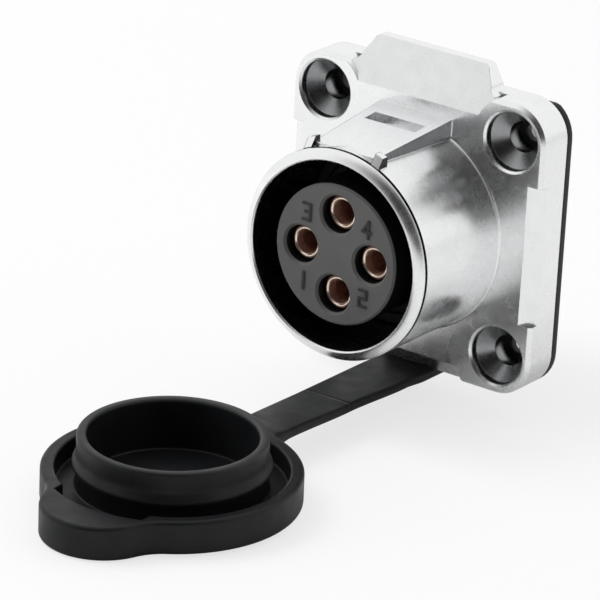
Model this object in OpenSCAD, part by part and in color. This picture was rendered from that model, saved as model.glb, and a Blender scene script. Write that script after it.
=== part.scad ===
// Panel socket of a four-pole round connector: a die-cast shell with a square flange,
// a latch ramp and a name tab, an insulator with four female contacts, and a rubber
// moulding that is flange gasket, tether strap and dust cap in one.
// Origin at the centre of the panel face, nose along -Y, tab upwards along +Z.

/* [Flange] */
// Width and height of the square flange
flange_w = 31; // [30:0.5:36]
// Thickness of the flange
flange_t = 4.2; // [3.6:0.1:6]
// Distance between neighbouring screw holes
screw_pitch = 23; // [22.6:0.1:24]
// Diameter of the screw holes
screw_d = 3.2; // [2.6:0.1:3.6]
// Diameter of the screw head recesses
head_d = 6.1; // [5.2:0.1:6.4]
// Depth of their straight part
head_depth = 1; // [0.5:0.1:1.4]
// Depth at which their cone ends in the screw hole
sink_depth = 2.3; // [2:0.1:3]
// Radius of the raised pad round each screw hole
pad_r = 4.5; // [4:0.1:4.8]
// Width of the sloping strip along each edge between the pads
edge_w = 1.6; // [0.8:0.1:2.4]
// Depth of the sloping strip at the rim of the flange
edge_depth = 1.1; // [0.5:0.1:2]
// Length of the sloping strip
edge_len = 14.8; // [12:0.2:16]
// Bevel round the front of the flange
flange_bevel = 0.4; // [0.2:0.1:0.6]
// Depth of the notches beside the tab
notch_depth = 2.2; // [1:0.1:3]

/* [Tab] */
// Height of the tab above the flange
tab_rise = 2.55; // [1.5:0.1:4]
// Width of the tab plate at its top
tab_top_w = 14.2; // [10:0.2:15]
// Width of the tab plate where it meets its foot
tab_plate_w = 15.6; // [11:0.2:16]
// Width of the foot of the tab
tab_foot_w = 17.6; // [16:0.2:18]
// How far below the top of the flange the face of the tab starts
tab_root = 2.1; // [1.2:0.1:2.6]
// How far the face of the tab leans back at its top
tab_lean = 2.3; // [1:0.1:2.8]
// Thickness of the tab at its top
tab_t = 1.1; // [0.8:0.1:1.3]

/* [Nose] */
// Outer diameter of the nose
nose_d = 22; // [21.4:0.1:23]
// Inner diameter of the nose
nose_bore = 19.7; // [19.2:0.1:20]
// Length of the nose in front of the flange
nose_len = 13.6; // [11:0.2:18]
// Axial depth of the bevel round the lip
lip_bevel = 0.75; // [0.3:0.05:1]
// Radius of the fillet between nose and flange
root_r = 0.3; // [0.2:0.1:1]
// Width of the fine groove behind the lip
lip_groove_w = 0.2; // [0.1:0.05:0.4]
// Depth of that groove
lip_groove_depth = 0.15; // [0.05:0.05:0.3]

/* [Latch ramp] */
// Width of the ramp at its front end
ramp_front_w = 7.6; // [6:0.2:8]
// Width of the ramp at the flange
ramp_w = 8.8; // [8:0.2:10]
// Height of the ramp above the nose axis at its front end
ramp_low = 10.9; // [10.4:0.1:11.2]
// Height of the ramp above the nose axis at the flange
ramp_high = 12.1; // [11.4:0.1:12.4]
// Width of the catch slot across the ramp
catch_w = 6.2; // [4:0.2:7]
// Size of the catch slot along the nose
catch_len = 1.9; // [0.8:0.1:2.4]
// Distance from the flange to the catch slot
catch_gap = 2.75; // [1:0.05:3.2]
// Depth of the catch slot
catch_depth = 1.4; // [0.6:0.1:1.6]
// Width of each guide nub beside the ramp
nub_w = 0.95; // [0.8:0.05:1.4]
// Radius of the top of the guide nubs about the nose axis
nub_high = 12; // [11.4:0.1:12.2]

/* [Barrel] */
// Outer diameter of the barrel behind the flange
barrel_d = 19.5; // [19.2:0.1:20]
// Wall of the barrel
barrel_wall = 1.05; // [0.8:0.05:1.3]
// Width of the relief groove at the root of the barrel
relief_w = 1.3; // [1:0.1:2]
// Depth of that groove
relief_depth = 0.25; // [0.1:0.05:0.4]
// Length of the barrel behind the panel face
barrel_len = 9; // [7:0.5:14]
// Thickness of the inner web that the insulator seats on
web_t = 1.8; // [1.2:0.1:2.4]
// Depth of the plug channel in front of the web
channel_depth = 10.8; // [9:0.2:11.4]

/* [Insulator] */
// Diameter of the insulator where the plug slides over it
insert_d = 14.7; // [14.2:0.1:15]
// How far the face of the insulator lies behind the lip
insert_recess = 0.7; // [0.3:0.1:1.5]
// Diameter of the circle through the contacts
contact_circle_d = 8.46; // [8:0.02:9]
// Diameter of the contact openings in the face
opening_d = 3.9; // [3.7:0.1:4.1]
// Length of the shoulder behind the web
shoulder_len = 4; // [3.6:0.1:5]
// Length of the rear insulator behind the shoulder
rear_insert_len = 6.2; // [5:0.1:7]
// Width of the key that lines up insulator and shell
key_w = 1.8; // [1:0.1:2.4]
// Height of that key
key_h = 0.75; // [0.5:0.05:1]
// Height of the raised pole numbers
number_h = 1.7; // [1.2:0.1:1.9]
// Height of the pole numbers above the face
number_rise = 0.15; // [0.08:0.01:0.25]

/* [Contacts] */
// Outer diameter of the contact tubes
contact_d = 3.4; // [3.2:0.05:3.5]
// Diameter of the pin that a contact takes
pin_d = 2.5; // [2.3:0.05:2.6]
// How far the contacts lie behind the insulator face
contact_recess = 1; // [0.5:0.1:2]
// Diameter of the collar that holds a contact
collar_d = 4.3; // [4:0.05:4.5]
// Length of that collar
collar_len = 1.8; // [1.4:0.1:2.2]
// Length of the solder cup behind the rear insulator
cup_len = 9; // [6:0.5:12]
// Bore of the solder cup
cup_bore = 2.1; // [1.6:0.1:2.8]
// How deep a pin can go into a contact
pin_depth = 11.1; // [9:0.1:11.4]
// Thickness of the contact spring strip
spring_t = 0.09; // [0.07:0.01:0.14]
// Number of slots in a contact spring
spring_slots = 6; // [4:1:8]

/* [Seals] */
// Thickness of the flange gasket
gasket_t = 1; // [0.8:0.1:2]
// How far the gasket stays below the top of the flange
gasket_drop = 0.6; // [0.2:0.1:1]
// Section diameter of the ring seal round the insulator
ring_d = 1.1; // [0.9:0.05:1.3]
// Thickness of the plug seal at the bottom of the channel
face_seal_t = 1; // [0.6:0.1:1.6]

/* [Back ring] */
// Length of the ring that locks the insulators
ring_len = 3; // [2:0.1:4]
// Wall of that ring
ring_wall = 1.85; // [1.2:0.05:2.2]
// Width of its two spanner slots
ring_slot = 2; // [1.2:0.1:3]
// Depth of these slots
slot_depth = 1.2; // [0.6:0.1:1.8]

/* [Strap and cap] */
// Width of the tether strap
strap_w = 6.8; // [5:0.2:8]
// Thickness of the tether strap
strap_t = 1.2; // [0.8:0.1:1.6]
// Length of the strap between its two bending places
strap_len = 22.6; // [21:0.2:30]
// Angle by which the strap slopes down to the cap
strap_slope = 1.3; // [0:0.1:4]
// Outer diameter of the cap skirt
skirt_d = 25.6; // [25:0.1:27]
// Inner diameter of the cap skirt
skirt_bore = 22.8; // [22.4:0.1:23.4]
// Height of the cap skirt
skirt_h = 3.5; // [3:0.1:5]
// Thickness of the cap floor
cap_floor = 1.5; // [1:0.1:2]
// Outer diameter of the collar that plugs the nose
plug_d = 18.7; // [18:0.1:19]
// Wall of that collar
plug_wall = 1; // [0.8:0.1:1.4]
// Height of the collar above the cap base
plug_h = 6.9; // [6:0.1:8]
// Radius of the lobe that covers the ramp
lobe_r = 6; // [5.4:0.1:6.6]
// How far the lobe reaches out from the skirt
lobe_reach = 4; // [3:0.1:5]
// Radius of the fillets between skirt and lobe
lobe_fillet = 5.6; // [2:0.2:8]

/* [Fits] */
// Clearance between pieces that slide together
slide_gap = 0.05; // [0.02:0.01:0.08]
// Clearance round a pin in its contact
pin_gap = 0.03; // [0.02:0.01:0.05]
// Clearance round the barrel in the gasket
gasket_gap = 0.2; // [0.1:0.05:0.4]
// Clearance between nose and cap pocket
cap_gap = 0.35; // [0.2:0.05:0.5]
// Gap between the parts of the strap at a bending place
bend_gap = 0.15; // [0.1:0.05:0.2]

/* [Hidden] */
$fn = 96;
over = 1;                                    // how far cuts run past a face
pole_angle = [180, 270, 90, 0];              // poles 1 to 4: left, bottom, top and right

// Stations along the connector axis, from the panel face forwards
face_z = gasket_t + flange_t;
lip_z = face_z + nose_len;
web_front = lip_z - channel_depth;
web_back = web_front - web_t;
shoulder_back = web_back - shoulder_len;
rear_back = shoulder_back - rear_insert_len;
ring_back = rear_back - ring_len;
insert_face = lip_z - insert_recess;
contact_front = insert_face - contact_recess;
collar_front = web_back + 0.7;
collar_back = collar_front - collar_len;
spring_front = contact_front - 1.2;
cup_end = rear_back - cup_len;
edge_bevel = 0.25;                           // bevel at the mouth of holes
lip_r = nose_bore / 2 + 0.15;                // inner radius of the bevelled lip
lip_back = lip_z - lip_bevel;
ramp_base = nose_bore / 2 - 0.6;             // ramp and nubs start inside the nose wall
ramp_setback = 0.75;                         // front end of the ramp behind the lip
nub_len = 1.5;

half = flange_w / 2;
corner_r = half - screw_pitch / 2;           // corners are concentric with the screws
tab_top = half + tab_rise;
tab_seat = half - 3.5;                       // lower end of the tab inside the flange
barrel_bore = barrel_d - 2 * barrel_wall;
pin_bore = pin_d + 2 * pin_gap;
shoulder_d = barrel_bore - 2 * slide_gap;
ring_bore = shoulder_d - 2 * ring_wall;
ring_groove_d = barrel_bore - 2 * ring_d - 2 * slide_gap;

// Bending places of the strap, measured in the part's own frame
strap_top = -half - slide_gap;
bend_y = -face_z - strap_t;
bend_z = strap_top - strap_t / 2;
bead_r = strap_t / 2;
neck_y = bead_r + bend_gap;                  // where the fixed side of a bending place ends
cap_neck = 1.5;                              // from the outer bending place to the skirt
cap_y = -(strap_len + cap_neck + skirt_d / 2);
cap_base = -1.37;                            // cap base below the middle of the strap
nub_x = ramp_front_w / 2 + nub_w / 2 - 0.15; // middle of each guide nub
pocket_w = 2 * nub_x + nub_w + 4 * cap_gap;
pocket_r = nub_high + 1.5 * cap_gap;

// Points of an arc about c from angle a to angle b
function arc(c, r, a, b, n = 8) =
    [for (i = [0:n]) c + r * [cos(a + (b - a) * i / n), sin(a + (b - a) * i / n)]];

// Points from p to q along a line that swells by s to the right
function bow(p, q, s, n = 6) =
    let (d = q - p, side = [d[1], -d[0]] / norm(d))
    [for (i = [0:n]) p + d * i / n + side * 4 * s * (i / n) * (1 - i / n)];

// Turns a piece drawn upwards along +Z so that it lies along the nose
module along_nose() { rotate([90, 0, 0]) children(); }

module at_contacts() {
    for (i = [1:4]) at_contact(i) children();
}

module at_contact(i) {
    a = pole_angle[i - 1];
    translate([cos(a), sin(a)] * contact_circle_d / 2) children();
}

module at_screws() {
    for (x = [-1, 1], y = [-1, 1]) translate([x, y] * screw_pitch / 2) children();
}

module flange_outline(w = flange_w) {
    r = w / 2 - screw_pitch / 2;
    square([w, w - 2 * r], center = true);
    square([w - 2 * r, w], center = true);
    at_screws() circle(r);
}

// Square plate with round corners and a bevel round its front
module flange_plate() {
    straight = flange_w - 2 * corner_r;
    wall = flange_t - flange_bevel;
    face = half - flange_bevel;
    for (a = [0, 90]) rotate(a) rotate([90, 0, 0]) linear_extrude(straight, center = true)
        polygon([[-half, 0], [half, 0], [half, wall], [face, flange_t], [-face, flange_t], [-half, wall]]);
    at_screws() {
        cylinder(r = corner_r, h = wall);
        translate([0, 0, wall]) cylinder(r1 = corner_r, r2 = corner_r - flange_bevel, h = flange_bevel);
    }
}

// Wedge that slopes one edge of the flange, between the pads
module edge_cut() {
    slope = edge_depth / edge_w;
    rotate([90, 0, 0]) linear_extrude(edge_len, center = true)
        polygon([[half - edge_w - over, face_z + slope * over], [half + over, face_z + slope * over],
                 [half + over, face_z - edge_depth - slope * over]]);
}

// Front view of the tab: a foot, then a plate that narrows to rounded corners
module tab_outline() {
    foot_top = half - 0.2;
    foot_corner = 0.3;
    top_corner = 0.7;
    flare = (tab_foot_w - tab_plate_w) / 2;
    hollow = flare * 0.9;                    // radius of the hollow above the foot
    right = concat(
        [[tab_foot_w / 2, tab_seat]],
        arc([tab_foot_w / 2 - foot_corner, foot_top - foot_corner], foot_corner, 0, 90, 4),
        arc([tab_plate_w / 2 + flare, foot_top + hollow], hollow, -90, -175, 6),
        arc([tab_top_w / 2 - top_corner, tab_top - top_corner], top_corner, 12, 90, 6));
    left = [for (i = [len(right) - 1:-1:0]) [-right[i][0], right[i][1]]];
    polygon(concat(right, left));
}

// Side view of the tab: its face leans back from the front of the flange
module tab_side() {
    top_z = face_z - tab_lean;
    polygon([[face_z, tab_seat], [face_z, half - tab_root], [top_z, tab_top],
             [top_z - tab_t, tab_top], [top_z - tab_t, tab_seat]]);
}

module tab() {
    intersection() {
        linear_extrude(face_z + over) tab_outline();
        rotate([0, -90, 0]) linear_extrude(tab_foot_w + over, center = true) tab_side();
    }
}

module flange() {
    difference() {
        translate([0, 0, gasket_t]) flange_plate();
        difference() {
            for (a = [180, 270, 0]) rotate(a) edge_cut();
            pads();
        }
        // notches in the top edge, between the tab and the pads
        difference() {
            translate([-screw_pitch / 2, half - tab_root, face_z - notch_depth])
                cube([screw_pitch, tab_root + over, notch_depth + over]);
            pads();
        }
    }
    tab();
}

module pads() {
    at_screws() cylinder(r = pad_r, h = face_z + 2 * over);
}

// Latch ramp on the nose: it widens and rises towards the flange, with a catch slot there
module latch_ramp() {
    front_z = lip_back - ramp_setback;
    front = ramp_front_w / 2;
    back = ramp_w / 2;
    difference() {
        intersection() {
            rotate([90, 0, 0]) linear_extrude(2 * (ramp_high + over), center = true)
                polygon([[-back, face_z - over], [back, face_z - over], [back, face_z],
                         [front, front_z], [-front, front_z], [-back, face_z]]);
            rotate([0, -90, 0]) linear_extrude(ramp_w + over, center = true)
                polygon([[face_z - over, ramp_base], [front_z, ramp_base],
                         [front_z, ramp_low], [face_z, ramp_high], [face_z - over, ramp_high]]);
        }
        translate([-catch_w / 2, ramp_high - catch_depth, face_z + catch_gap])
            cube([catch_w, catch_depth + over, catch_len]);
    }
}

// Two nubs beside the front of the ramp; their front carries on the bevel of the lip
module guide_nubs() {
    slope = lip_bevel / (nose_d / 2 - lip_r);
    nub_front = lip_back - slope * (nub_high - nose_d / 2);
    nub_back = lip_back - nub_len;
    intersection() {
        for (s = [-1, 1]) translate([s * nub_x - nub_w / 2, ramp_base, nub_back])
            cube([nub_w, nub_high, nub_len]);
        rotate_extrude() polygon([[0, nub_back], [nub_high, nub_back], [nub_high, nub_front],
                                  [nose_d / 2, lip_back], [0, lip_back]]);
    }
}

// Half section of nose and barrel, revolved about the axis
module tube_section() {
    relief_r = barrel_d / 2 - relief_depth;
    barrel_chamfer = 0.5;
    lip_swell = 0.12;                        // how far the bevel of the lip is rounded out
    groove_z = lip_back - lip_groove_w;
    groove_r = nose_d / 2 - lip_groove_depth;
    root = gasket_t + 0.5;                   // where the tube ends inside the flange
    polygon(concat(
        [[barrel_bore / 2, -barrel_len], [barrel_d / 2 - barrel_chamfer, -barrel_len],
         [barrel_d / 2, -barrel_len + barrel_chamfer], [barrel_d / 2, gasket_t - relief_w],
         [relief_r, gasket_t - relief_w], [relief_r, root], [nose_d / 2 + root_r, root]],
        arc([nose_d / 2 + root_r, face_z + root_r], root_r, 270, 180),
        [[nose_d / 2, groove_z], [groove_r, groove_z], [groove_r, lip_back]],
        bow([nose_d / 2, lip_back], [lip_r, lip_z], lip_swell),
        [[nose_bore / 2, lip_z - lip_r + nose_bore / 2],
         [nose_bore / 2, web_front], [insert_d / 2 + slide_gap, web_front],
         [insert_d / 2 + slide_gap, web_back], [barrel_bore / 2, web_back]]));
}

// Screw hole with a straight recess and a cone for the screw head
module screw_hole() {
    cylinder(d = screw_d, h = face_z + over);
    translate([0, 0, face_z - sink_depth]) cylinder(d1 = screw_d, d2 = head_d, h = sink_depth - head_depth);
    translate([0, 0, face_z - head_depth]) cylinder(d = head_d, h = head_depth + over);
    translate([0, 0, face_z - edge_bevel])
        cylinder(d1 = head_d, d2 = head_d + 4 * edge_bevel, h = 2 * edge_bevel);
}

module shell() {
    color("silver") along_nose() difference() {
        union() {
            flange();
            rotate_extrude() tube_section();
            difference() {
                union() {
                    latch_ramp();
                    guide_nubs();
                }
                translate([0, 0, gasket_t]) cylinder(d = nose_bore, h = lip_z);
            }
        }
        translate([0, 0, -barrel_len - over]) {
            cylinder(d = insert_d + 2 * slide_gap, h = lip_z + barrel_len + 2 * over);
            cylinder(d = barrel_bore, h = web_back + barrel_len + over);
        }
        translate([0, 0, web_front]) cylinder(d = nose_bore, h = channel_depth + over);
        // keyway for the insulator, at the bottom of the web
        translate([-key_w / 2 - slide_gap, -insert_d / 2 - key_h - slide_gap, web_back - over])
            cube([key_w + 2 * slide_gap, 2 * key_h, web_t + 2 * over]);
        at_screws() screw_hole();
    }
}

// Stroke of a pole number: a thin bar between two points
module stroke(a, b, t = 0.26) {
    d = b - a;
    translate(a) rotate(atan2(d[1], d[0])) translate([-t / 2, -t / 2]) square([norm(d) + t, t]);
}

// Pole numbers drawn with straight strokes on a grid one unit wide and two high
module pole_number(n) {
    s = number_h / 2;
    strokes = [
        [[0, 1], [0, -1]],
        [[-0.5, 1], [0.5, 1], [0.5, 0], [-0.5, 0], [-0.5, -1], [0.5, -1]],
        [[-0.5, 1], [0.5, 1], [0.5, 0], [-0.2, 0], [0.5, 0], [0.5, -1], [-0.5, -1]],
        [[0.3, -1], [0.3, 1], [-0.5, -0.3], [0.6, -0.3]]];
    path = strokes[n - 1];
    for (i = [0:len(path) - 2]) stroke(path[i] * s, path[i + 1] * s);
}

// Each pole number stands just past its contact, turning left
function number_angle(i) = pole_angle[i - 1] + 45;

module front_insert() {
    number_r = contact_circle_d / 2 + 0.95;
    number_root = 0.2;                       // how deep the numbers are rooted in the face
    face_bevel = 0.2;
    opening_len = 6;                         // length of the wide openings in front of the contacts
    color("dimgray") along_nose() difference() {
        union() {
            translate([0, 0, web_back]) cylinder(d = insert_d, h = insert_face - face_bevel - web_back);
            translate([0, 0, insert_face - face_bevel])
                cylinder(d1 = insert_d, d2 = insert_d - 2 * face_bevel, h = face_bevel);
            translate([0, 0, shoulder_back]) cylinder(d = shoulder_d, h = shoulder_len);
            translate([-key_w / 2, -insert_d / 2 - key_h, web_back])
                cube([key_w, 2 * key_h, web_t - 2 * slide_gap]);
            for (i = [1:4]) rotate(number_angle(i)) translate([number_r, 0, insert_face - number_root])
                rotate(-number_angle(i))
                    linear_extrude(number_rise + number_root) pole_number(i);
        }
        // groove for the ring seal
        translate([0, 0, shoulder_back + (shoulder_len - ring_d) / 2 - slide_gap]) difference() {
            cylinder(d = shoulder_d + over, h = ring_d + 2 * slide_gap);
            cylinder(d = ring_groove_d - 2 * slide_gap, h = ring_d + 2 * slide_gap);
        }
        at_contacts() {
            translate([0, 0, insert_face - opening_len]) cylinder(d = opening_d, h = opening_len + over);
            translate([0, 0, insert_face - edge_bevel])
                cylinder(d1 = opening_d, d2 = opening_d + 4 * edge_bevel, h = 2 * edge_bevel);
            translate([0, 0, shoulder_back - over])
                cylinder(d = contact_d + 2 * slide_gap, h = insert_face - shoulder_back + over);
            translate([0, 0, shoulder_back - over])
                cylinder(d = collar_d + 2 * slide_gap, h = collar_front - shoulder_back + over);
        }
    }
}

module rear_insert() {
    pocket_d = 3.2;
    pocket_depth = 4;
    color([0.12, 0.12, 0.12]) along_nose() difference() {
        union() {
            translate([0, 0, rear_back]) cylinder(d = shoulder_d, h = rear_insert_len);
            at_contacts() translate([0, 0, rear_back]) cylinder(d = collar_d, h = collar_back - rear_back);
        }
        at_contacts() translate([0, 0, rear_back - over])
            cylinder(d = contact_d + 2 * slide_gap, h = collar_back - rear_back + 2 * over);
        // blind pocket between the contacts
        translate([0, 0, rear_back - over]) cylinder(d = pocket_d, h = pocket_depth + over);
    }
}

module back_ring() {
    color("lightgray") along_nose() difference() {
        translate([0, 0, ring_back]) cylinder(d = barrel_bore - 2 * slide_gap, h = ring_len);
        translate([0, 0, ring_back - over]) cylinder(d = ring_bore, h = ring_len + 2 * over);
        translate([-barrel_bore / 2, -ring_slot / 2, ring_back - over])
            cube([barrel_bore, ring_slot, slot_depth + over]);
    }
}

module insert_seal() {
    mid_r = (ring_groove_d + ring_d) / 2;
    color([0.1, 0.1, 0.1]) along_nose() translate([0, 0, shoulder_back + shoulder_len / 2])
        rotate_extrude() translate([mid_r, 0]) circle(d = ring_d, $fn = 32);
}

module face_seal() {
    color([0.08, 0.08, 0.08]) along_nose() translate([0, 0, web_front]) difference() {
        cylinder(d = nose_bore - 2 * slide_gap, h = face_seal_t);
        translate([0, 0, -over]) cylinder(d = insert_d + 2 * slide_gap, h = face_seal_t + 2 * over);
    }
}

// One contact: a closed-entry tube, a holding collar and an open solder cup
module contact(i) {
    spring_d = pin_bore + 2 * spring_t + pin_gap;
    mouth_bevel = 0.12;
    cup_depth = 6;
    cup_opening = 4;                         // length of the cup that is open at the top
    cup_edge = 0.5;                          // its edges lie this far above the middle
    color("gold") along_nose() at_contact(i) difference() {
        union() {
            translate([0, 0, cup_end]) cylinder(d = contact_d, h = contact_front - cup_end);
            translate([0, 0, collar_back]) cylinder(d = collar_d, h = collar_len);
        }
        translate([0, 0, contact_front - pin_depth]) cylinder(d = pin_bore, h = pin_depth + over);
        translate([0, 0, contact_front - mouth_bevel])
            cylinder(d1 = pin_bore, d2 = pin_bore + 4 * mouth_bevel, h = 2 * mouth_bevel);
        translate([0, 0, web_front]) cylinder(d = spring_d, h = spring_front - web_front);
        translate([0, 0, cup_end - over]) {
            cylinder(d = cup_bore, h = cup_depth + over);
            translate([-contact_d, cup_edge, 0]) cube([2 * contact_d, contact_d, cup_opening + over]);
        }
    }
}

// Slotted strip sleeve inside a contact that grips the pin
module contact_spring(i) {
    len = spring_front - web_front - 2 * slide_gap;
    slot_w = 0.2;
    band = 1;                                // unslotted length at each end
    color([0.72, 0.38, 0.26]) along_nose() at_contact(i)
        translate([0, 0, web_front + slide_gap]) difference() {
            cylinder(d = pin_bore + 2 * spring_t, h = len);
            translate([0, 0, -over]) cylinder(d = pin_bore, h = len + 2 * over);
            for (k = [1:spring_slots]) rotate(360 * k / spring_slots)
                translate([0, -slot_w / 2, band]) cube([pin_bore, slot_w, len - 2 * band]);
        }
}

// Rubber gasket behind the flange; its tail wraps under the flange to the strap
module panel_gasket() {
    tail_y = bend_y + neck_y;
    color([0.1, 0.1, 0.1]) {
        along_nose() difference() {
            linear_extrude(gasket_t) intersection() {
                flange_outline();
                translate([0, -gasket_drop]) flange_outline();
            }
            translate([0, 0, -over]) cylinder(d = barrel_d + 2 * gasket_gap, h = gasket_t + 2 * over);
            at_screws() translate([0, 0, -over]) cylinder(d = screw_d, h = gasket_t + 2 * over);
        }
        difference() {
            translate([-strap_w / 2, tail_y, strap_top - strap_t]) cube([strap_w, -tail_y, strap_t]);
            // rounded heel where the strap turns down from the gasket
            translate([0, -strap_t / 2, strap_top - strap_t / 2]) rotate([0, 90, 0]) difference() {
                translate([0, 0, -strap_w]) cube([strap_t, strap_t, 2 * strap_w]);
                cylinder(d = strap_t, h = 2 * strap_w + over, center = true);
            }
        }
        translate([-strap_w / 2, -gasket_t, strap_top - strap_t / 2])
            cube([strap_w, gasket_t, strap_t]);
    }
}

// Frame of the strap: origin at its inner bending place, strap along -Y
module strap_frame() {
    translate([0, bend_y, bend_z]) rotate([strap_slope, 0, 0]) children();
}

// Strap section with rounded edges
module strap_section(w) {
    r = strap_t * 0.3;
    square([w - 2 * r, strap_t], center = true);
    square([w, strap_t - 2 * r], center = true);
    for (x = [-1, 1], y = [-1, 1]) translate([x * (w / 2 - r), y * (strap_t / 2 - r)]) circle(r, $fn = 24);
}

module cap_strap() {
    color([0.12, 0.12, 0.13]) strap_frame() {
        rotate([90, 0, 0]) linear_extrude(strap_len) strap_section(strap_w);
        for (y = [0, -strap_len]) translate([0, y, 0]) rotate([0, 90, 0])
            cylinder(r = bead_r, h = strap_w - strap_t * 0.6, center = true);
    }
}

// Plan of the skirt: a round cap with a lobe opposite the strap
module skirt_outline() {
    cap_r = skirt_d / 2;
    lobe_y = lobe_r - cap_r - lobe_reach;    // centre of the lobe
    // centre of the fillet that touches both circles
    reach_cap = cap_r + lobe_fillet;
    reach_lobe = lobe_r + lobe_fillet;
    fillet_y = (reach_cap ^ 2 - reach_lobe ^ 2 + lobe_y ^ 2) / (2 * lobe_y);
    fillet_x = sqrt(reach_cap ^ 2 - fillet_y ^ 2);
    circle(cap_r);
    translate([0, lobe_y]) circle(lobe_r);
    for (s = [-1, 1]) difference() {
        polygon([[0, 0], [s * fillet_x, fillet_y] * cap_r / reach_cap,
                 [s * fillet_x, fillet_y], [0, lobe_y]]);
        translate([s * fillet_x, fillet_y]) circle(lobe_fillet);
    }
}

// Pocket of the skirt: room for the nose, the ramp and its nubs
module skirt_pocket() {
    circle(d = skirt_bore);
    intersection() {
        circle(pocket_r);
        translate([-pocket_w / 2, -pocket_r]) square([pocket_w, pocket_r]);
    }
}

// Half section of the collar, with a round sealing bead
module plug_section() {
    r = plug_d / 2;
    inner = r - plug_wall;
    root = cap_floor / 2;
    bead_z = 3.9;
    bead_section = 0.9;                      // radius of the bead's section
    bead_rise = 0.4;
    rim_r = 0.3;
    polygon(concat(
        [[inner, root], [r, root]],
        arc([r + bead_rise - bead_section, bead_z], bead_section, -56, 56, 10),
        arc([r - rim_r, plug_h - rim_r], rim_r, 0, 90, 4),
        arc([inner + rim_r, plug_h - rim_r], rim_r, 90, 180, 4)));
}

module dust_cap() {
    neck_w = strap_w + 0.8;
    neck_root = 0.9;                         // how far the neck runs into the skirt
    color([0.1, 0.1, 0.11]) strap_frame() {
        translate([0, cap_y, cap_base]) {
            difference() {
                linear_extrude(skirt_h) skirt_outline();
                translate([0, 0, cap_floor]) linear_extrude(skirt_h) skirt_pocket();
            }
            rotate_extrude() plug_section();
        }
        translate([-neck_w / 2, -strap_len - cap_neck - neck_root, -strap_t / 2])
            cube([neck_w, cap_neck + neck_root - neck_y, strap_t]);
    }
}

shell();
front_insert();
rear_insert();
back_ring();
insert_seal();
face_seal();
panel_gasket();
cap_strap();
dust_cap();
for (i = [1:4]) contact(i);
for (i = [1:4]) contact_spring(i);
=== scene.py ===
"""Looks for a four-pole round panel socket with a tethered rubber dust cap.

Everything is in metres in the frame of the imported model: the nose of the socket points
along -Y, the tab points up along +Z, and the panel face is the plane y = 0. Sizes are
written in millimetres and multiplied by MM.
"""
import math

import bpy
from mathutils import Matrix, Vector


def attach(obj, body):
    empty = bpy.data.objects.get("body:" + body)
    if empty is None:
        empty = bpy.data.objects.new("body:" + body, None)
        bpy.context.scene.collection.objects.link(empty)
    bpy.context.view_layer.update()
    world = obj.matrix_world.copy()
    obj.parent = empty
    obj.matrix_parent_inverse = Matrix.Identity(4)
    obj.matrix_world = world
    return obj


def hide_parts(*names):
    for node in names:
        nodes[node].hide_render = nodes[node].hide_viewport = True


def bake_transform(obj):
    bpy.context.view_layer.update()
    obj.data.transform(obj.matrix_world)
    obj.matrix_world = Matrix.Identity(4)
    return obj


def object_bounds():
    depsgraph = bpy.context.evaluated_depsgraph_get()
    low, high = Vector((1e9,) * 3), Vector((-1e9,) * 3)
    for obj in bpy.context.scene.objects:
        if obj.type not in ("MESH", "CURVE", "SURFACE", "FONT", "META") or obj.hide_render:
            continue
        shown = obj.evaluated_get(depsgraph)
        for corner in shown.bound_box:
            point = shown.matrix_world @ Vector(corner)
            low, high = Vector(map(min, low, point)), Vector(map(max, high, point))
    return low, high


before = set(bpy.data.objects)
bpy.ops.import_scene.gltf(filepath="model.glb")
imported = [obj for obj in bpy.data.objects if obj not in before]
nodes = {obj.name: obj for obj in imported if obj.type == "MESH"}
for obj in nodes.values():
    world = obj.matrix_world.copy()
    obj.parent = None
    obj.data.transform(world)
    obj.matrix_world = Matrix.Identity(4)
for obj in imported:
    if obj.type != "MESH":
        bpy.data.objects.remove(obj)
cad_low, cad_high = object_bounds()
MM = 0.001

# Places in millimetres that the masks of the materials use
SCREW_AT, RECESS_R = 11.5, 3.05
NOSE_R, NOSE_BORE_R, LIP_Y = 11.0, 9.85, -18.8
GROOVE_FRONT_Y, GROOVE_BACK_Y = -18.05, -17.68
FACE_EDGE_Y, NUMBER_Y = -17.84, -18.2
CONTACT_AT, CONTACT_EDGE_R, CONTACT_BORE_R = 4.23, 1.5, 1.31
FLANGE_Y, RAMP_FRONT_Y = -5.2, -17.3
RAMP_FRONT_HALF, RAMP_BACK_HALF = 3.8, 4.4
NUB_X, NUB_HALF, NUB_BACK_Y = 4.125, 0.475, -16.5
CAP_NEAR_Y = -26
# How far a mask fades to either side of its limit
SOFT, CRISP, SHARP = 0.06, 0.03, 0.02


def add_object(name, data):
    thing = bpy.data.objects.new(name, data)
    bpy.context.scene.collection.objects.link(thing)
    return thing


# ---------------------------------------------------------------- camera
def make_camera():
    azimuth, elevation, roll = math.radians(35.51), math.radians(21.41), math.radians(3.09)
    target = Vector((-6.97, -13.87, -7.96)) * MM
    distance = 464 * MM
    back = Vector((math.sin(azimuth) * math.cos(elevation),
                   -math.cos(azimuth) * math.cos(elevation), math.sin(elevation)))
    right = Vector((math.cos(azimuth), math.sin(azimuth), 0))
    up = back.cross(right)
    x_axis = right * math.cos(roll) + up * math.sin(roll)
    y_axis = back.cross(x_axis)
    data = bpy.data.cameras.new("camera")
    data.lens, data.sensor_width = 273.6, 36
    data.clip_start, data.clip_end = 0.01, 20
    camera = add_object("camera", data)
    turn = Matrix((x_axis, y_axis, back)).transposed().to_4x4()
    camera.matrix_world = Matrix.Translation(target + back * distance) @ turn
    bpy.context.scene.camera = camera


# ---------------------------------------------------------------- shader nodes
def new_material(name):
    material = bpy.data.materials.new(name)
    material.use_nodes = True
    tree = material.node_tree
    return material, tree, tree.nodes["Principled BSDF"]


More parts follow.
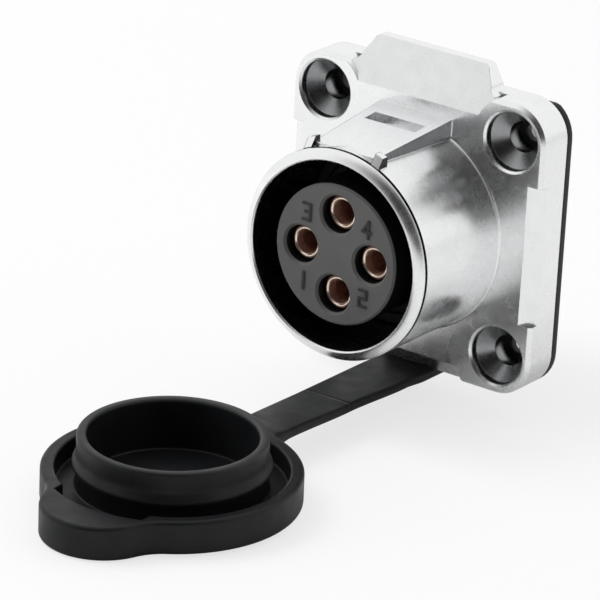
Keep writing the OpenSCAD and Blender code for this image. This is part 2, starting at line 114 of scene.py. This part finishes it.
def add_node(tree, kind, **inputs):
    node = tree.nodes.new(kind)
    for key, value in inputs.items():
        node.inputs[key.replace("_", " ")].default_value = value
    return node


def calc(tree, operation, first, second=None):
    """Math node; each input is a socket or a number."""
    node = tree.nodes.new("ShaderNodeMath")
    node.operation = operation
    for socket, value in zip(node.inputs, (first, second)):
        if isinstance(value, (int, float)):
            socket.default_value = value
        elif value is not None:
            tree.links.new(value, socket)
    return node.outputs[0]


def noise(tree, scale, detail=3.0, roughness=0.5):
    coords = tree.nodes.new("ShaderNodeTexCoord")
    node = add_node(tree, "ShaderNodeTexNoise", Scale=scale, Detail=detail, Roughness=roughness)
    tree.links.new(coords.outputs["Object"], node.inputs["Vector"])
    return node.outputs["Fac"]


def spread(tree, source, low, high, start=0.3, end=0.7):
    """Maps start to end of the source onto low to high; the usual range suits a noise."""
    node = add_node(tree, "ShaderNodeMapRange")
    for key, value in (("From Min", start), ("From Max", end), ("To Min", low), ("To Max", high)):
        node.inputs[key].default_value = value
    tree.links.new(source, node.inputs["Value"])
    return node.outputs["Result"]


def mix_colours(tree, factor, first, second):
    """Mixes two colours, each a socket or three numbers."""
    node = tree.nodes.new("ShaderNodeMix")
    node.data_type = "RGBA"
    tree.links.new(factor, node.inputs["Factor"])
    for key, colour in (("A", first), ("B", second)):
        if isinstance(colour, tuple):
            node.inputs[key].default_value = (*colour, 1)
        else:
            tree.links.new(colour, node.inputs[key])
    return node.outputs["Result"]


def bump(tree, shader, height, depth, strength, normal=None):
    node = add_node(tree, "ShaderNodeBump", Strength=strength, Distance=depth)
    tree.links.new(height, node.inputs["Height"])
    if normal is not None:
        tree.links.new(normal, node.inputs["Normal"])
    tree.links.new(node.outputs["Normal"], shader.inputs["Normal"])


def seen_by_camera(tree, share, lit, seen):
    """Shows a share of the seen shader straight to the camera, where it lights nothing."""
    path = tree.nodes.new("ShaderNodeLightPath")
    mixed = tree.nodes.new("ShaderNodeMixShader")
    tree.links.new(calc(tree, "MULTIPLY", path.outputs["Is Camera Ray"], share), mixed.inputs[0])
    tree.links.new(lit, mixed.inputs[1])
    tree.links.new(seen, mixed.inputs[2])
    return mixed.outputs[0]


# ---------------------------------------------------------------- masks by place on the piece; most mark painted shade and painted highlight
def place(tree):
    """The three coordinates on the piece in millimetres."""
    coords = tree.nodes.new("ShaderNodeTexCoord")
    split = tree.nodes.new("ShaderNodeSeparateXYZ")
    tree.links.new(coords.outputs["Object"], split.inputs[0])
    return [calc(tree, "MULTIPLY", split.outputs[i], 1 / MM) for i in range(3)]


def off_axis(tree, across, up):
    """Distance from an axis, from the two distances square to it."""
    return calc(tree, "SQRT", calc(tree, "ADD", calc(tree, "MULTIPLY", across, across),
                                   calc(tree, "MULTIPLY", up, up)))


def past(tree, value, limit):
    """How far the value lies outside the limit on either side of zero."""
    return calc(tree, "SUBTRACT", calc(tree, "ABSOLUTE", value), limit)


def below(tree, value, limit, soft=SOFT):
    """1 where the value lies below the limit, 0 above it."""
    return spread(tree, value, 1.0, 0.0, limit - soft, limit + soft)


def above(tree, value, limit, soft=SOFT):
    """1 where the value lies above the limit, 0 below it."""
    return spread(tree, value, 0.0, 1.0, limit - soft, limit + soft)


def both(tree, *masks):
    """1 where all the masks are 1."""
    result = masks[0]
    for mask in masks[1:]:
        result = calc(tree, "MULTIPLY", result, mask)
    return result


# Painted shade in the four screw recesses of the flange.
def painted_shade_in_screw_recess(tree):
    x, y, z = place(tree)
    off_screw = off_axis(tree, past(tree, x, SCREW_AT), past(tree, z, SCREW_AT))
    return below(tree, off_screw, RECESS_R + 0.02)


# Painted shade on everything within the bore radius behind the lip: the walls of the plug channel,
# and also the narrower outside of the rear barrel.
def painted_shade_in_plug_channel(tree):
    x, y, z = place(tree)
    return both(tree, below(tree, off_axis(tree, x, z), NOSE_BORE_R + 0.03, CRISP),
                above(tree, y, LIP_Y + 0.3, 0.15))


# Painted shadow in the groove behind the lip of the nose.
def painted_shadow_in_lip_groove(tree):
    x, y, z = place(tree)
    radius = off_axis(tree, x, z)
    return both(tree, above(tree, y, GROOVE_FRONT_Y, SHARP), below(tree, y, GROOVE_BACK_Y, SHARP),
                above(tree, radius, NOSE_R - 0.3), below(tree, radius, NOSE_R + 0.1, CRISP))


def painted_shade_on_ramp_side(tree):
    """Painted shade on the two side walls of the latch ramp, which widens towards the flange."""
    x, y, z = place(tree)
    half = spread(tree, y, RAMP_FRONT_HALF, RAMP_BACK_HALF, RAMP_FRONT_Y, FLANGE_Y)
    side = past(tree, x, half)
    return both(tree, above(tree, side, -0.03, SHARP), below(tree, side, 0.06, CRISP),
                above(tree, off_axis(tree, x, z), NOSE_R + 0.05, CRISP),
                above(tree, y, NUB_BACK_Y, 0.3), below(tree, y, FLANGE_Y - 0.1))


def painted_shade_on_nub_side(tree):
    """Painted shade on the side walls of the two guide nubs behind the lip."""
    x, y, z = place(tree)
    off_middle = calc(tree, "ABSOLUTE", past(tree, x, NUB_X))
    return both(tree, above(tree, off_middle, NUB_HALF - 0.04, SHARP),
                below(tree, off_middle, NUB_HALF + 0.04, SHARP),
                above(tree, y, GROOVE_FRONT_Y, SHARP), below(tree, y, NUB_BACK_Y, SHARP),
                above(tree, off_axis(tree, x, z), NOSE_R + 0.1, CRISP))


def painted_highlight_on_collar_rim(tree):
    """Painted highlight along the top of the collar that stands in the cap."""
    x, y, z = place(tree)
    rim = in_strap_frame(0, CAP_CENTRE[1], CAP_CENTRE[2] + COLLAR_H)[2]
    return both(tree, spread(tree, z, 0.0, 1.0, rim - 0.35, rim + 0.1), below(tree, y, CAP_NEAR_Y))


def painted_shade_behind_face(tree):
    """Painted shade on all of the nose insulator but its face and the bevels round it."""
    return above(tree, place(tree)[1], FACE_EDGE_Y, 0.05)


# Painted shade on the tops of the raised numbers, which are the same grey plastic.
def painted_shade_on_numbers(tree):
    return below(tree, place(tree)[1], NUMBER_Y, SHARP)


def contact_radius(tree):
    """Distance from the axis of the nearest contact."""
    x, y, z = place(tree)
    x, z = calc(tree, "ABSOLUTE", x), calc(tree, "ABSOLUTE", z)
    along = calc(tree, "SUBTRACT", calc(tree, "MAXIMUM", x, z), CONTACT_AT)
    return off_axis(tree, along, calc(tree, "MINIMUM", x, z))


# Painted shade round the outer edge of each contact.
def painted_shade_on_contact_edge(tree):
    return above(tree, contact_radius(tree), CONTACT_EDGE_R, 0.05)


def in_contact_bore(tree):
    return below(tree, contact_radius(tree), CONTACT_BORE_R, CRISP)


# ---------------------------------------------------------------- materials
def metal(name, colour, rough_low, rough_high, grain, grain_size, edge=0.0, shades=(), dull=None):
    """Metal with a fine skin; shades are (mask, colour) pairs painted over it, most of them painted
    shade, and dull is a rougher mask.
    """
    added_roughness = 0.32
    material, tree, shader = new_material(name)
    shader.inputs["Metallic"].default_value = 1.0
    light = tuple(min(1.0, c * 1.04) for c in colour)
    clouds = spread(tree, noise(tree, 420.0, 4.0), 0.0, 1.0)
    skin = mix_colours(tree, clouds, colour, light)
    for mask, shade in shades:
        skin = mix_colours(tree, mask(tree), skin, shade)
    tree.links.new(skin, shader.inputs["Base Color"])
    rough = spread(tree, noise(tree, 700.0, 5.0), rough_low, rough_high)
    if dull is not None:
        rough = calc(tree, "ADD", rough, calc(tree, "MULTIPLY", dull(tree), added_roughness))
    tree.links.new(rough, shader.inputs["Roughness"])
    normal = None
    if edge:
        bevel = add_node(tree, "ShaderNodeBevel", Radius=edge)
        bevel.samples = 6
        normal = bevel.outputs["Normal"]
    bump(tree, shader, noise(tree, grain_size, 3.0), grain, 0.5, normal)
    return material


def rubber(name, dark, light, rough_low, rough_high, gloss, shades=()):
    """Rubber or plastic with a fine grain; shades are (mask, colour) pairs of painted shade and
    painted highlight.
    """
    grain = 0.02 * MM
    material, tree, shader = new_material(name)
    shader.inputs["Specular IOR Level"].default_value = gloss
    blotches = spread(tree, noise(tree, 220.0, 5.0), 0.0, 1.0)
    skin = mix_colours(tree, blotches, dark, light)
    for mask, shade in shades:
        skin = mix_colours(tree, mask(tree), skin, shade)
    tree.links.new(skin, shader.inputs["Base Color"])
    rough = spread(tree, noise(tree, 500.0, 4.0), rough_low, rough_high)
    tree.links.new(rough, shader.inputs["Roughness"])
    bump(tree, shader, noise(tree, 5200.0, 4.0, 0.6), grain, 0.5)
    return material


def dress(names, material):
    for name in names:
        mesh = nodes[name].data
        mesh.materials.clear()
        mesh.materials.append(material)


# ---------------------------------------------------------------- rubber pieces
# Sizes of the moulding in millimetres; the strap's frame starts at its inner bending place
STRAP_ROOT = Vector((0, -6.4, -16.15))
STRAP_SLOPE = math.radians(1.3)
CAP_CENTRE = (0, -36.9, -1.37)
CAP_R, LOBE_R, LOBE_Y, LOBE_FILLET = 12.8, 6.0, -10.8, 5.6
SKIRT_BORE_R, POCKET_R, POCKET_HALF = 11.4, 12.5, 5.3
SKIRT_H, CAP_FLOOR = 3.5, 1.5
COLLAR_R, COLLAR_WALL, COLLAR_H = 9.35, 1.0, 6.9
BEAD_Z, BEAD_RISE, BEAD_SPREAD = 3.9, 0.4, 0.62


def new_piece(name, points, faces, material):
    mesh = bpy.data.meshes.new(name)
    mesh.from_pydata([Vector(p) * MM for p in points], [], faces)
    mesh.polygons.foreach_set("use_smooth", [True] * len(mesh.polygons))
    mesh.materials.append(material)
    piece = add_object(name, mesh)
    return piece


def ring_faces(rings, count, closed_rings):
    """Quads between neighbouring rings of count points; the last joins the first if closed."""
    faces = []
    for i in range(rings if closed_rings else rings - 1):
        a, b = i * count, (i + 1) % rings * count
        for j in range(count):
            k = (j + 1) % count
            faces.append((a + j, a + k, b + k, b + j))
    return faces


def arc(cx, cy, r, start, end, steps=5):
    """Points on a circle from one angle to another, in degrees."""
    turns = [math.radians(start + (end - start) * i / steps) for i in range(steps + 1)]
    return [(cx + r * math.cos(t), cy + r * math.sin(t)) for t in turns]


def supported(path, near=0.07, shortest=0.4):
    """The path with extra points close to both ends of each long stretch, for clean shading."""
    result = [path[0]]
    for (ax, ay), (bx, by) in zip(path, path[1:]):
        length = math.hypot(bx - ax, by - ay)
        if length > shortest:
            for t in (near / length, 1 - near / length):
                result.append((ax + (bx - ax) * t, ay + (by - ay) * t))
        result.append((bx, by))
    return result


def in_strap_frame(x, y, z):
    """A place given along the sloping strap, in the frame of the model."""
    c, s = math.cos(STRAP_SLOPE), math.sin(STRAP_SLOPE)
    return STRAP_ROOT + Vector((x, y * c - z * s, y * s + z * c))


def ray_to_circle(ux, uy, cx, cy, r, sign):
    """Distance along a ray from the middle to a circle: its near side (-1) or far side (1)."""
    middle = ux * cx + uy * cy
    rest = middle * middle - (cx * cx + cy * cy - r * r)
    return middle + sign * math.sqrt(rest) if rest > 0 else 0.0


def skirt_outer(angle):
    """Distance from the middle of the cap to the outside of its skirt: circle, lobe and fillets."""
    ux, uy = math.cos(angle), math.sin(angle)
    reach_cap, reach_lobe = CAP_R + LOBE_FILLET, LOBE_R + LOBE_FILLET
    fy = (reach_cap ** 2 - reach_lobe ** 2 + LOBE_Y ** 2) / (2 * LOBE_Y)
    fx = math.sqrt(reach_cap ** 2 - fy ** 2)
    on_lobe = (fx * LOBE_R / reach_lobe, LOBE_Y + (fy - LOBE_Y) * LOBE_R / reach_lobe)
    if uy < 0:
        lean = abs(ux) / -uy
        if on_lobe[0] / -on_lobe[1] < lean < fx / -fy:
            return ray_to_circle(abs(ux), uy, fx, fy, LOBE_FILLET, -1)
        return max(CAP_R, ray_to_circle(ux, uy, 0, LOBE_Y, LOBE_R, 1))
    return CAP_R


def skirt_inner(angle):
    """Distance to the inside of the skirt, with the pocket for the latch ramp."""
    lean = abs(math.cos(angle))
    if math.sin(angle) >= 0:
        return SKIRT_BORE_R
    side = POCKET_HALF / lean if lean > 0.01 else POCKET_R
    return max(SKIRT_BORE_R, min(POCKET_R, side))


def bead(low, high, steps):
    """Outside of the collar from one height to another, with its round sealing bead."""
    heights = [low + (high - low) * i / steps for i in range(steps + 1)]
    return [(COLLAR_R + BEAD_RISE * math.exp(-((z - BEAD_Z) / BEAD_SPREAD) ** 2), z)
            for z in heights]


def cap_section(outer, inner):
    """Section of the cap from the middle of its base round to the middle of its floor."""
    middle, base_edge, top_edge, inner_edge, corner, lip = 0.5, 0.5, 0.4, 0.3, 0.25, 0.32
    collar_in = COLLAR_R - COLLAR_WALL
    path = [(middle, 0)] + arc(outer - base_edge, base_edge, base_edge, -90, 0)
    path += arc(outer - top_edge, SKIRT_H - top_edge, top_edge, 0, 90)
    path += arc(inner + inner_edge, SKIRT_H - inner_edge, inner_edge, 90, 180)
    path += arc(inner - corner, CAP_FLOOR + corner, corner, 0, -90)
    path += arc(COLLAR_R + corner, CAP_FLOOR + corner, corner, -90, -180)
    path += bead(2.1, 6.0, 24)
    path += arc(COLLAR_R - lip, COLLAR_H - lip, lip, 0, 90)
    path += arc(collar_in + lip, COLLAR_H - lip, lip, 90, 180)
    path += arc(collar_in - corner, CAP_FLOOR + corner, corner, 0, -90)
    return supported(path + [(middle, CAP_FLOOR)])


def make_cap(material):
    turns = 288
    sections = []
    for i in range(turns):
        angle = 2 * math.pi * i / turns
        section = cap_section(skirt_outer(angle), skirt_inner(angle))
        sections.append([(r * math.cos(angle), r * math.sin(angle), z) for r, z in section])
    rings = len(sections[0])
    points = [sections[j][i] for i in range(rings) for j in range(turns)]
    faces = ring_faces(rings, turns, False)
    base, floor = len(points), len(points) + 1
    points += [(0, 0, 0), (0, 0, CAP_FLOOR)]
    last = (rings - 1) * turns
    for j in range(turns):
        k = (j + 1) % turns
        faces += [(base, k, j), (floor, last + j, last + k)]
    cx, cy, cz = CAP_CENTRE
    points = [in_strap_frame(x + cx, y + cy, z + cz) for x, y, z in points]
    cap = new_piece("dust_cap_rubber", points, faces, material)
    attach(cap, "cap")
    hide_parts("dust_cap")


# The strap at stations along it: y, then its half width, underside and top
STRAP_SHAPE = [
    (0.0, (3.35, -16.7, -15.56)), (-5.2, (3.35, -16.7, -15.56)), (-8.5, (3.25, -16.5, -15.48)),
    (-18.0, (3.0, -16.3, -15.3)), (-27.6, (2.85, -16.15, -15.08)), (-30.2, (3.1, -16.3, -14.78)),
    (-31.3, (3.6, -16.4, -14.72))]


def strap_size(y):
    """Half width, underside and top of the strap at y, eased between the stations."""
    for (ya, a), (yb, b) in zip(STRAP_SHAPE, STRAP_SHAPE[1:]):
        if ya >= y >= yb:
            t = (ya - y) / (ya - yb)
            t = t * t * (3 - 2 * t)
            return [p + (q - p) * t for p, q in zip(a, b)]
    return STRAP_SHAPE[-1][1]


def strap_ring(y):
    """Closed section of the strap at y, with rounded edges."""
    half, low, high = strap_size(y)
    r = 0.42 * (high - low)
    path = (arc(half - r, high - r, r, 90, 0) + arc(half - r, low + r, r, 0, -90)
            + arc(r - half, low + r, r, -90, -180) + arc(r - half, high - r, r, 180, 90))
    return [(x, y, z) for x, z in path]


def make_strap(name, first, last, step, material, node):
    """Part of the strap from first to last along Y."""
    count = round((first - last) / step)
    rings = [strap_ring(first + (last - first) * i / count) for i in range(count + 1)]
    size = len(rings[0])
    points = [p for ring in rings for p in ring]
    faces = ring_faces(len(rings), size, False)
    faces += [tuple(range(size))[::-1], tuple(range(len(points) - size, len(points)))]
    strap = new_piece(name, points, faces, material)
    for face in strap.data.polygons[-2:]:
        face.use_smooth = False
    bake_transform(strap)
    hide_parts(node)


def gasket_loops():
    """Outline of the gasket, whose top edge lies lower, and its five holes."""
    half, corner, drop = 15.5, 4.0, 0.6
    barrel_hole, screw_hole, turns = 9.95, 0.9, 48
    inner = half - corner
    outline = []
    for cx, cz, start in ((inner, inner, 0), (-inner, inner, 90), (-inner, -inner, 180),
                          (inner, -inner, 270)):
        for x, z in arc(cx, cz, corner, start, start + 90, 10):
            outline.append((x, min(z, half - drop)))
    circles = [(0, 0, barrel_hole)] + [(sx * SCREW_AT, sz * SCREW_AT, screw_hole)
                                       for sx in (-1, 1) for sz in (-1, 1)]
    return [outline] + [arc(cx, cz, r, 0, 360 - 360 / turns, turns - 1) for cx, cz, r in circles]


def make_gasket(material):
    """Flat gasket with rounded edges, cut from a filled outline with five holes."""
    edge, thick = 0.15, 1.0
    curve = bpy.data.curves.new("gasket_outline", "CURVE")
    curve.dimensions, curve.fill_mode = "2D", "BOTH"
    curve.extrude = (thick / 2 - edge) * MM
    curve.bevel_depth, curve.bevel_resolution, curve.offset = edge * MM, 2, -edge * MM
    for loop in gasket_loops():
        spline = curve.splines.new("POLY")
        spline.points.add(len(loop) - 1)
        for point, (x, z) in zip(spline.points, loop):
            point.co = (x * MM, z * MM, 0, 1)
        spline.use_cyclic_u = True
    source = add_object("gasket_outline", curve)
    bpy.context.view_layer.update()
    evaluated = source.evaluated_get(bpy.context.evaluated_depsgraph_get())
    mesh = bpy.data.meshes.new_from_object(evaluated)
    bpy.data.objects.remove(source)
    upright = Matrix.Rotation(math.pi / 2, 4, "X")
    mesh.transform(Matrix.Translation((0, -thick / 2 * MM, 0)) @ upright)
    for face in mesh.polygons:
        face.use_smooth = abs(face.normal.y) < 0.99
    mesh.materials.clear()
    mesh.materials.append(material)
    gasket = add_object("gasket_rubber", mesh)
    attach(gasket, "socket")
    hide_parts("panel_gasket")


def make_ring(name, section, material, node):
    """Ring turned about the axis of the nose from a closed section of (radius, y) points."""
    turns = 192
    points = []
    for i in range(turns):
        c, s = math.cos(2 * math.pi * i / turns), math.sin(2 * math.pi * i / turns)
        points += [(r * c, y, r * s) for r, y in section]
    faces = ring_faces(turns, len(section), True)
    ring = new_piece(name, points, faces, material)
    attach(ring, "socket")
    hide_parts(node)


def make_seals(material):
    """Plug seal with two lips at the bottom of the channel, and the round cord of the insert."""
    inner, outer, back, front, edge = 7.41, 9.79, -8.02, -8.98, 0.2
    between_lips, lip = 8.6, 0.3
    section = arc(inner + edge, back - edge, edge, 180, 90)
    section += arc(outer - edge, back - edge, edge, 90, 0)
    section += arc(outer - edge, front + edge, edge, 0, -90)
    section += arc(between_lips + lip, front + lip, lip, -90, -180)
    section += arc(between_lips - lip, front + lip, lip, 0, -90)
    section += arc(inner + edge, front + edge, edge, -90, -180)
    make_ring("plug_seal_rubber", section, material, "face_seal")
    cord_at, cord_y, cord_r, turns = 8.1, -4.2, 0.54, 24
    cord = arc(cord_at, cord_y, cord_r, 0, 360 - 360 / turns, turns - 1)
    make_ring("insert_seal_rubber", cord, material, "insert_seal")


# ---------------------------------------------------------------- stage
def make_floor():
    """Pale floor just under the part; the camera sees it nearly white, and it keeps its shadow."""
    half, white_share = 3.0, 0.72
    z = cad_low.z - 0.02 * MM
    mesh = bpy.data.meshes.new("floor")
    mesh.from_pydata([(-half, -half, z), (half, -half, z), (half, half, z), (-half, half, z)],
                     [], [(0, 1, 2, 3)])
    floor = add_object("floor", mesh)
    material, tree, shader = new_material("floor_white")
    shader.inputs["Base Color"].default_value = (0.9, 0.9, 0.9, 1)
    shader.inputs["Roughness"].default_value = 0.8
    shader.inputs["Specular IOR Level"].default_value = 0.1
    white = add_node(tree, "ShaderNodeEmission", Strength=1.0)
    surface = seen_by_camera(tree, white_share, shader.outputs[0], white.outputs[0])
    tree.links.new(surface, tree.nodes["Material Output"].inputs["Surface"])
    mesh.materials.append(material)


def make_world():
    """White room whose right front is dark, so that metal shows some depth."""
    dark_side = Vector((0.45, -0.76, 0.3)).normalized()
    world = bpy.data.worlds.new("studio")
    bpy.context.scene.world = world
    world.use_nodes = True
    tree = world.node_tree
    tree.nodes.clear()
    output = tree.nodes.new("ShaderNodeOutputWorld")
    white = add_node(tree, "ShaderNodeBackground", Strength=1.0)
    white.inputs["Color"].default_value = (1, 1, 1, 1)
    room = add_node(tree, "ShaderNodeBackground", Strength=0.95)
    coords = tree.nodes.new("ShaderNodeTexCoord")
    towards_dark = tree.nodes.new("ShaderNodeVectorMath")
    towards_dark.operation = "DOT_PRODUCT"
    towards_dark.inputs[1].default_value = dark_side
    tree.links.new(coords.outputs["Generated"], towards_dark.inputs[0])
    level = spread(tree, towards_dark.outputs["Value"], 1.0, 0.03, 0.45, 0.88)
    tree.links.new(level, room.inputs["Color"])
    surface = seen_by_camera(tree, 1.0, room.outputs[0], white.outputs[0])
    tree.links.new(surface, output.inputs["Surface"])


def make_lamp(name, direction, distance, size, power):
    """Soft round lamp that shines at the origin and isn't mirrored in the metal."""
    data = bpy.data.lights.new(name, "AREA")
    data.shape, data.size, data.energy = "DISK", size, power
    lamp = add_object(name, data)
    lamp.visible_glossy = False
    away = Vector(direction).normalized()
    lamp.location = away * distance
    lamp.rotation_mode = "QUATERNION"
    lamp.rotation_quaternion = (-away).to_track_quat("-Z", "Y")


make_camera()
make_floor()
make_world()
make_lamp("key", (-0.7, -0.35, 1.0), 0.8, 0.5, 2.4)
make_lamp("fill", (-1.0, -0.9, 0.25), 1.0, 0.6, 1.2)

zinc = metal("plated_zinc", (0.88, 0.885, 0.89), 0.22, 0.3, 0.006 * MM, 1800.0, edge=0.1 * MM,
             shades=((painted_shade_in_screw_recess, (0.32, 0.325, 0.33)), (painted_shade_in_plug_channel, (0.3, 0.3, 0.31)),
                     (painted_shade_on_ramp_side, (0.2, 0.205, 0.21)), (painted_shade_on_nub_side, (0.03, 0.03, 0.03)),
                     (painted_shadow_in_lip_groove, (0.01, 0.01, 0.01))))
brass = metal("plated_brass", (0.72, 0.72, 0.70), 0.3, 0.45, 0.01 * MM, 3000.0)
gold = metal("gold_brass", (0.92, 0.76, 0.64), 0.16, 0.26, 0.006 * MM, 3000.0,
             shades=((painted_shade_on_contact_edge, (0.1, 0.06, 0.045)), (in_contact_bore, (0.95, 0.72, 0.6))),
             dull=in_contact_bore)
copper = metal("spring_copper", (0.95, 0.62, 0.53), 0.35, 0.5, 0.006 * MM, 3000.0)
grey_plastic = rubber("grey_plastic", (0.1, 0.1, 0.099), (0.12, 0.119, 0.117), 0.42, 0.55, 0.4,
                      shades=((painted_shade_behind_face, (0.006, 0.006, 0.006)),
                              (painted_shade_on_numbers, (0.02, 0.02, 0.02))))
black_plastic = rubber("black_plastic", (0.012, 0.012, 0.012), (0.02, 0.02, 0.02), 0.4, 0.5, 0.4)
seal_rubber = rubber("seal_rubber", (0.008, 0.008, 0.008), (0.014, 0.014, 0.014), 0.5, 0.6, 0.4)
cap_rubber = rubber("cap_rubber", (0.0065, 0.007, 0.008), (0.0105, 0.011, 0.0125), 0.36, 0.5, 0.22,
                    shades=((painted_highlight_on_collar_rim, (0.04, 0.041, 0.043)),))

dress(["shell"], zinc)
dress(["back_ring"], brass)
dress(["front_insert"], grey_plastic)
dress(["rear_insert"], black_plastic)
make_seals(seal_rubber)
make_cap(cap_rubber)
make_gasket(cap_rubber)
make_strap("strap_root_rubber", 0.0, -18.0, 0.3, cap_rubber,
           "cap_strap")
make_strap("strap_end_rubber", -18.0, -31.3, 0.25, cap_rubber,
           "cap_strap")
dress([f"contact_{i}" for i in range(1, 5)], gold)
dress([f"contact_spring_{i}" for i in range(1, 5)], copper)

bpy.context.scene.view_settings.view_transform = "Standard"
